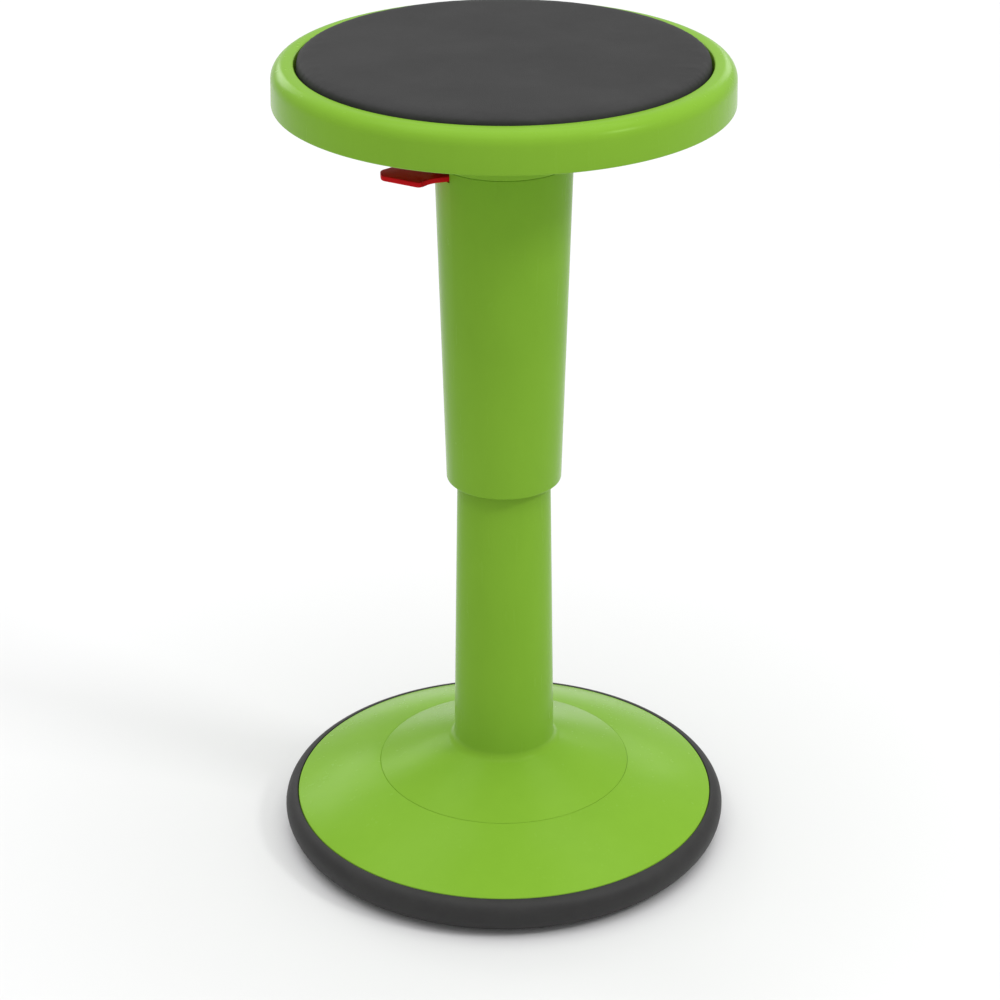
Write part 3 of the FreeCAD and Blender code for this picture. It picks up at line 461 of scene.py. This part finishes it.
def makeUpperColumn():
    column = {"insideRound": (0.0008, 3), "lipRound": (0.0018, 5), "topRound": (0.0006, 3), "spigot": 0.014,
              "spigotRound": (0.001, 2), "spigotWall": 0.0024, "spigotRoot": 0.005, "shoulder": 0.009,
              "notchLow": 0.562, "notchRise": 0.016}
    top = sleeve["top"] - sleeve["seam"]
    spigot = sleeveAt(sleeve["top"]) - sleeve["wall"] - sleeve["seam"]
    shoulder = top - column["shoulder"]
    section = [
        (sleeve["lip"] - sleeve["wall"], sleeve["lipHeight"], *column["insideRound"]),
        (sleeve["lip"], sleeve["lipHeight"], *column["lipRound"]),
        (sleeveAt(top), top, *column["topRound"]),
        (spigot, top),
        (spigot, top + column["spigot"], *column["spigotRound"]),
        (spigot - column["spigotWall"], top + column["spigot"]),
        (spigot - column["spigotWall"], top - column["spigotRoot"]),
        (sleeveAt(shoulder) - sleeve["wall"], shoulder),
    ]
    piece = looseObject("upperColumn", turnedMesh(section))
    cutWith(piece, leverNotch(column["notchLow"], top + column["notchRise"]))
    finishPiece(piece, "seat", ["upper_column"], "green_plastic")


def makeShell():
    shell = {"radius": 0.170, "draft": 0.0006, "edge": 0.6148, "edgeRound": (0.0014, 4),
             "skirtRound": (0.0008, 3), "rim": 0.645, "rimRound": (0.011, 12), "rimDepth": 0.011,
             "rimWidth": 0.007, "recess": 0.1526, "recessRound": (0.0012, 4), "deckLow": 0.620,
             "deckHigh": 0.624, "deckRound": (0.0015, 3), "collarRound": (0.003, 4),
             "seamRound": (0.0006, 3), "notchLow": 0.565, "notchRise": 0.0046, "ribs": 12,
             "ribWidth": 0.0024, "ribSink": 0.001, "ribFoot": 0.008, "ribEnd": 0.0015}
    skirt = shell["radius"] - wall
    collarTop = sleeveAt(shell["deckLow"])
    collarFoot = sleeveAt(sleeve["top"])
    section = [
        (0.0, shell["deckLow"]),
        (collarTop - sleeve["wall"], shell["deckLow"]),
        (collarFoot - sleeve["wall"], sleeve["top"]),
        (collarFoot, sleeve["top"], *shell["seamRound"]),
        (collarTop, shell["deckLow"], *shell["collarRound"]),
        (shell["recess"] + wall, shell["deckLow"], *shell["deckRound"]),
        (shell["recess"] + wall, shell["rim"] - wall, *shell["deckRound"]),
        (skirt - shell["rimWidth"], shell["rim"] - wall),
        (skirt - shell["draft"], shell["rim"] - shell["rimDepth"]),
        (skirt, shell["edge"], *shell["skirtRound"]),
        (shell["radius"], shell["edge"], *shell["edgeRound"]),
        (shell["radius"] - shell["draft"], shell["rim"], *shell["rimRound"]),
        (shell["recess"], shell["rim"], *shell["recessRound"]),
        (shell["recess"], shell["deckHigh"]),
        (0.0, shell["deckHigh"]),
    ]
    piece = looseObject("seatShell", turnedMesh(section))
    cutWith(piece, leverNotch(shell["notchLow"], sleeve["top"] + shell["notchRise"]))
    ribs = bmesh.new()
    ribs.from_mesh(piece.data)
    for index in range(shell["ribs"]):
        angle = 2 * math.pi * index / shell["ribs"] + leverTurn
        addRib(ribs, collarTop - shell["ribSink"], skirt - shell["ribSink"], shell, angle)
    ribs.to_mesh(piece.data)
    ribs.free()
    finishPiece(piece, "seat", ["seat_shell"], "green_plastic")


def addRib(mesh, inner, outer, shell, angle):
    # a thin web under the deck, from the collar out to the skirt
    half = shell["ribWidth"] / 2
    top = shell["deckLow"] + shell["ribSink"]
    corners = [(inner, top), (inner, shell["edge"] - shell["ribFoot"]),
               (outer, shell["edge"] + shell["ribEnd"]), (outer, top)]
    verts = [mesh.verts.new((radius, -half, height)) for radius, height in corners]
    face = mesh.faces.new(verts)
    pushed = bmesh.ops.extrude_face_region(mesh, geom=[face], use_keep_orig=True)["geom"]
    moved = [item for item in pushed if isinstance(item, bmesh.types.BMVert)]
    bmesh.ops.translate(mesh, vec=(0, 2 * half, 0), verts=moved)
    bmesh.ops.rotate(mesh, cent=(0, 0, 0), matrix=Matrix.Rotation(angle, 3, "Z"), verts=verts + moved)
    island = {face for vert in verts + moved for face in vert.link_faces}
    bmesh.ops.recalc_face_normals(mesh, faces=list(island))


def swell(piece, pad):
    # an even skin is blown up as cloth and held back where it has swollen enough
    skin = piece.modifiers.new("evenSkin", "REMESH")
    skin.mode = "VOXEL"
    skin.voxel_size = pad["voxel"]
    applyModifiers(piece)
    start = [vert.co.copy() for vert in piece.data.vertices]
    held = piece.vertex_groups.new(name="held")
    floor = padLow.z + pad["heldBelow"]
    held.add([index for index, place in enumerate(start) if place.z < floor], 1.0, "REPLACE")
    cloth = piece.modifiers.new("cover", "CLOTH")
    cloth.settings.vertex_group_mass = "held"
    cloth.settings.use_pressure = True
    cloth.settings.uniform_pressure_force = pad["pressure"]
    cloth.settings.effector_weights.gravity = 0
    for frameNumber in range(1, pad["frames"] + 1):
        bpy.context.scene.frame_set(frameNumber)
    applyModifiers(piece)
    bpy.context.scene.frame_set(1)
    for vert, place in zip(piece.data.vertices, start):
        moved = vert.co - place
        vert.co = place + moved * min(1.0, pad["swell"] / max(moved.length, 1e-9))
    piece.vertex_groups.clear()
    mesh = bmesh.new()
    mesh.from_mesh(piece.data)
    for turn in range(pad["smoothing"]):
        bmesh.ops.smooth_vert(mesh, verts=mesh.verts, factor=0.5, use_axis_x=True, use_axis_y=True,
                              use_axis_z=True)
    mesh.to_mesh(piece.data)
    mesh.free()
    finer = piece.modifiers.new("finer", "SUBSURF")
    finer.levels = finer.render_levels = 1
    applyModifiers(piece)


def makePad():
    pad = {"radius": 0.1517, "footRound": (0.002, 3), "top": 0.6502, "topRound": (0.0035, 8),
           "drop": 0.0006, "flat": 0.020, "voxel": 0.003, "heldBelow": 0.003, "pressure": 4,
           "frames": 20, "swell": 0.0009, "smoothing": 2, "fill": 0.9}
    section = [
        (0.0, padLow.z),
        (pad["radius"], padLow.z, *pad["footRound"]),
        (pad["radius"], pad["top"] - pad["drop"], *pad["topRound"]),
        (pad["flat"], pad["top"]),
        (0.0, pad["top"]),
    ]
    piece = looseObject("seatPad", turnedMesh(section))
    swell(piece, pad)
    finishPiece(piece, "seat", ["seat_pad"], "pad_cover", 70)


def makeScrews(name, body, node, screw, section):
    # turned heads with a hexagonal socket, on shanks that run up into the board or the plate
    piece = looseObject(name, turnedMesh(section, screw["steps"]))
    socket = bmesh.new()
    bmesh.ops.create_cone(socket, cap_ends=True, segments=6, radius1=screw["socket"],
                          radius2=screw["socket"], depth=2 * screw["socketDepth"])
    bmesh.ops.translate(socket, vec=(0, 0, section[0][1]), verts=socket.verts)
    cutWith(piece, socket)
    ring = bmesh.new()
    for index in range(screw["count"]):
        angle = screw["first"] + 2 * math.pi * index / screw["count"]
        place = (screw["ring"] * math.cos(angle), screw["ring"] * math.sin(angle), 0)
        piece.data.transform(Matrix.Translation(place))
        ring.from_mesh(piece.data)
        piece.data.transform(Matrix.Translation(place).inverted())
    ring.to_mesh(piece.data)
    ring.free()
    finishPiece(piece, body, [node], "zinc_steel")


def makePadScrews():
    screw = {"count": 6, "ring": 0.110, "first": leverTurn + math.radians(15), "steps": 32,
             "face": 0.0032, "faceRound": (0.0006, 3), "head": 0.004, "dome": 0.0014, "seat": 0.61997,
             "shank": 0.00175, "point": 0.001, "socket": 0.0018, "socketDepth": 0.0012}
    low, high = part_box("pad_screws")
    section = [
        (0.0, low.z),
        (screw["face"], low.z, *screw["faceRound"]),
        (screw["head"], low.z + screw["dome"]),
        (screw["head"], screw["seat"]),
        (screw["shank"], screw["seat"]),
        (screw["shank"], high.z - screw["point"]),
        (0.0, high.z),
    ]
    makeScrews("padScrews", "seat", "pad_screws", screw, section)


def makeCoverScrews():
    screw = {"count": 4, "ring": 0.048, "first": math.pi / 4, "steps": 32, "face": 0.0029,
             "faceRound": (0.0005, 3), "head": 0.0036, "headTop": 0.0015, "seat": 0.00158,
             "shank": 0.002, "point": 0.002, "socket": 0.0016, "socketDepth": 0.0007}
    low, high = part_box("cover_screws")
    section = [
        (0.0, low.z),
        (screw["face"], low.z, *screw["faceRound"]),
        (screw["head"], screw["headTop"]),
        (screw["shank"], screw["seat"]),
        (screw["shank"], high.z - screw["point"]),
        (0.0, high.z),
    ]
    makeScrews("coverScrews", "base", "cover_screws", screw, section)


def makeLever():
    # the outline is in millimetres along and across the lever, from the column's axis
    lever = {"low": 0.563, "thick": 0.004, "noseFrom": 0.060, "noseRound": (0.003, 5),
             "rimRound": (0.0006, 3), "pivot": 0.020, "knuckle": 0.0042, "knuckleWidth": 0.022,
             "outline": [(-8, -8), (30, -12), (44, -14), (53, -19.5), (63, -22.8), (92.3, -8.9),
                         (94.6, 3), (71.8, 27.1), (67.9, 23.7), (63.2, 21.2), (58.2, 19.9), (47, 19.4),
                         (42, 14.6), (30, 12), (-8, 8)]}
    mesh = bmesh.new()
    face = mesh.faces.new([mesh.verts.new((x / 1000, y / 1000, lever["low"]))
                           for x, y in lever["outline"]])
    pushed = bmesh.ops.extrude_face_region(mesh, geom=[face])["geom"]
    moved = [item for item in pushed if isinstance(item, bmesh.types.BMVert)]
    bmesh.ops.translate(mesh, vec=(0, 0, lever["thick"]), verts=moved)
    bmesh.ops.recalc_face_normals(mesh, faces=mesh.faces)
    upright = [edge for edge in mesh.edges
               if abs(edge.verts[0].co.z - edge.verts[1].co.z) > lever["thick"] / 2]
    nose = [edge for edge in upright if edge.verts[0].co.x > lever["noseFrom"]]
    bevelEdges(mesh, nose, *lever["noseRound"])
    rims = [edge for edge in mesh.edges if edge.calc_face_angle(0) > math.radians(60)]
    bevelEdges(mesh, rims, *lever["rimRound"])
    knuckle = bmesh.ops.create_cone(mesh, cap_ends=True, segments=32, radius1=lever["knuckle"],
                                    radius2=lever["knuckle"], depth=lever["knuckleWidth"])["verts"]
    bmesh.ops.rotate(mesh, cent=(0, 0, 0), matrix=Matrix.Rotation(math.pi / 2, 3, "X"), verts=knuckle)
    bmesh.ops.translate(mesh, vec=(lever["pivot"], 0, lever["low"] + lever["thick"] / 2), verts=knuckle)
    bmesh.ops.rotate(mesh, cent=(0, 0, 0), matrix=Matrix.Rotation(leverTurn, 3, "Z"), verts=mesh.verts)
    piece = looseObject("releaseLever", mesh)
    finishPiece(piece, "lever", ["lever"], "red_plastic", 40)


makeSole()
makeDisc()
makeLowerColumn()
print("base made")
makeUpperColumn()
makeShell()
makePad()
makePadScrews()
makeCoverScrews()
print("seat made")
makeLever()


def makeStudio():
    studio = {"floorSize": 30, "floorColour": (0.74, 0.74, 0.745, 1), "floorGloss": 0.7, "skyLight": 0.55,
              "skySeen": 0.90}
    floorMesh = bmesh.new()
    bmesh.ops.create_grid(floorMesh, x_segments=1, y_segments=1, size=studio["floorSize"])
    floor = looseObject("studioFloor", floorMesh)
    paint = Finish("paleFloor", Base_Color=studio["floorColour"], Roughness=studio["floorGloss"],
                   Specular_IOR_Level=0.1)
    floor.data.materials.append(paint.material)
    world = bpy.data.worlds.new("studio")
    world.use_nodes = True
    sky = world.node_tree.nodes["Background"]
    sky.inputs["Color"].default_value = (1, 1, 1, 1)
    # the sky is as bright as the far floor where it is seen, and lights the part with less
    ray = world.node_tree.nodes.new("ShaderNodeLightPath")
    glow = world.node_tree.nodes.new("ShaderNodeMath")
    glow.operation = "MULTIPLY_ADD"
    glow.inputs[1].default_value = studio["skySeen"] - studio["skyLight"]
    glow.inputs[2].default_value = studio["skyLight"]
    world.node_tree.links.new(ray.outputs["Is Camera Ray"], glow.inputs[0])
    world.node_tree.links.new(glow.outputs[0], sky.inputs["Strength"])
    bpy.context.scene.world = world


def addLamp(name, place, target, size, power):
    data = bpy.data.lights.new(name, "AREA")
    data.shape = "RECTANGLE"
    data.size, data.size_y = size
    data.energy = power
    lamp = bpy.data.objects.new(name, data)
    lamp.location = place
    lamp.rotation_euler = (Vector(target) - Vector(place)).to_track_quat("-Z", "Y").to_euler()
    bpy.context.scene.collection.objects.link(lamp)


def addSun(spread, strength):
    # a wide soft light from overhead
    data = bpy.data.lights.new("overhead", "SUN")
    data.angle = math.radians(spread)
    data.energy = strength
    sun = bpy.data.objects.new("overhead", data)
    sun.location = (0, 0, 3)
    bpy.context.scene.collection.objects.link(sun)


def makeCamera():
    view = {"lens": 98.9, "sensor": 36, "away": 1.9325, "height": 1.2278, "pitch": 25.891, "shift": -0.004}
    data = bpy.data.cameras.new("camera")
    data.lens = view["lens"]
    data.sensor_width = view["sensor"]
    data.shift_x = view["shift"]
    camera = bpy.data.objects.new("camera", data)
    camera.location = (0, -view["away"], view["height"])
    camera.rotation_euler = (math.radians(90 - view["pitch"]), 0, 0)
    bpy.context.scene.collection.objects.link(camera)
    bpy.context.scene.camera = camera


makeStudio()
addSun(spread=70, strength=2.15)
addLamp("backLeftLamp", place=(-1.45, 2.55, 1.55), target=(0, 0, 0.35), size=(1.1, 0.9), power=9)
addLamp("backRightLamp", place=(1.05, 2.85, 1.35), target=(0, 0, 0.45), size=(0.7, 0.7), power=3)
addLamp("rightLamp", place=(1.95, -0.95, 2.2), target=(0, 0, 0.3), size=(0.5, 0.5), power=18)
makeCamera()
bpy.context.scene.view_settings.view_transform = "Standard"
print("studio ready")
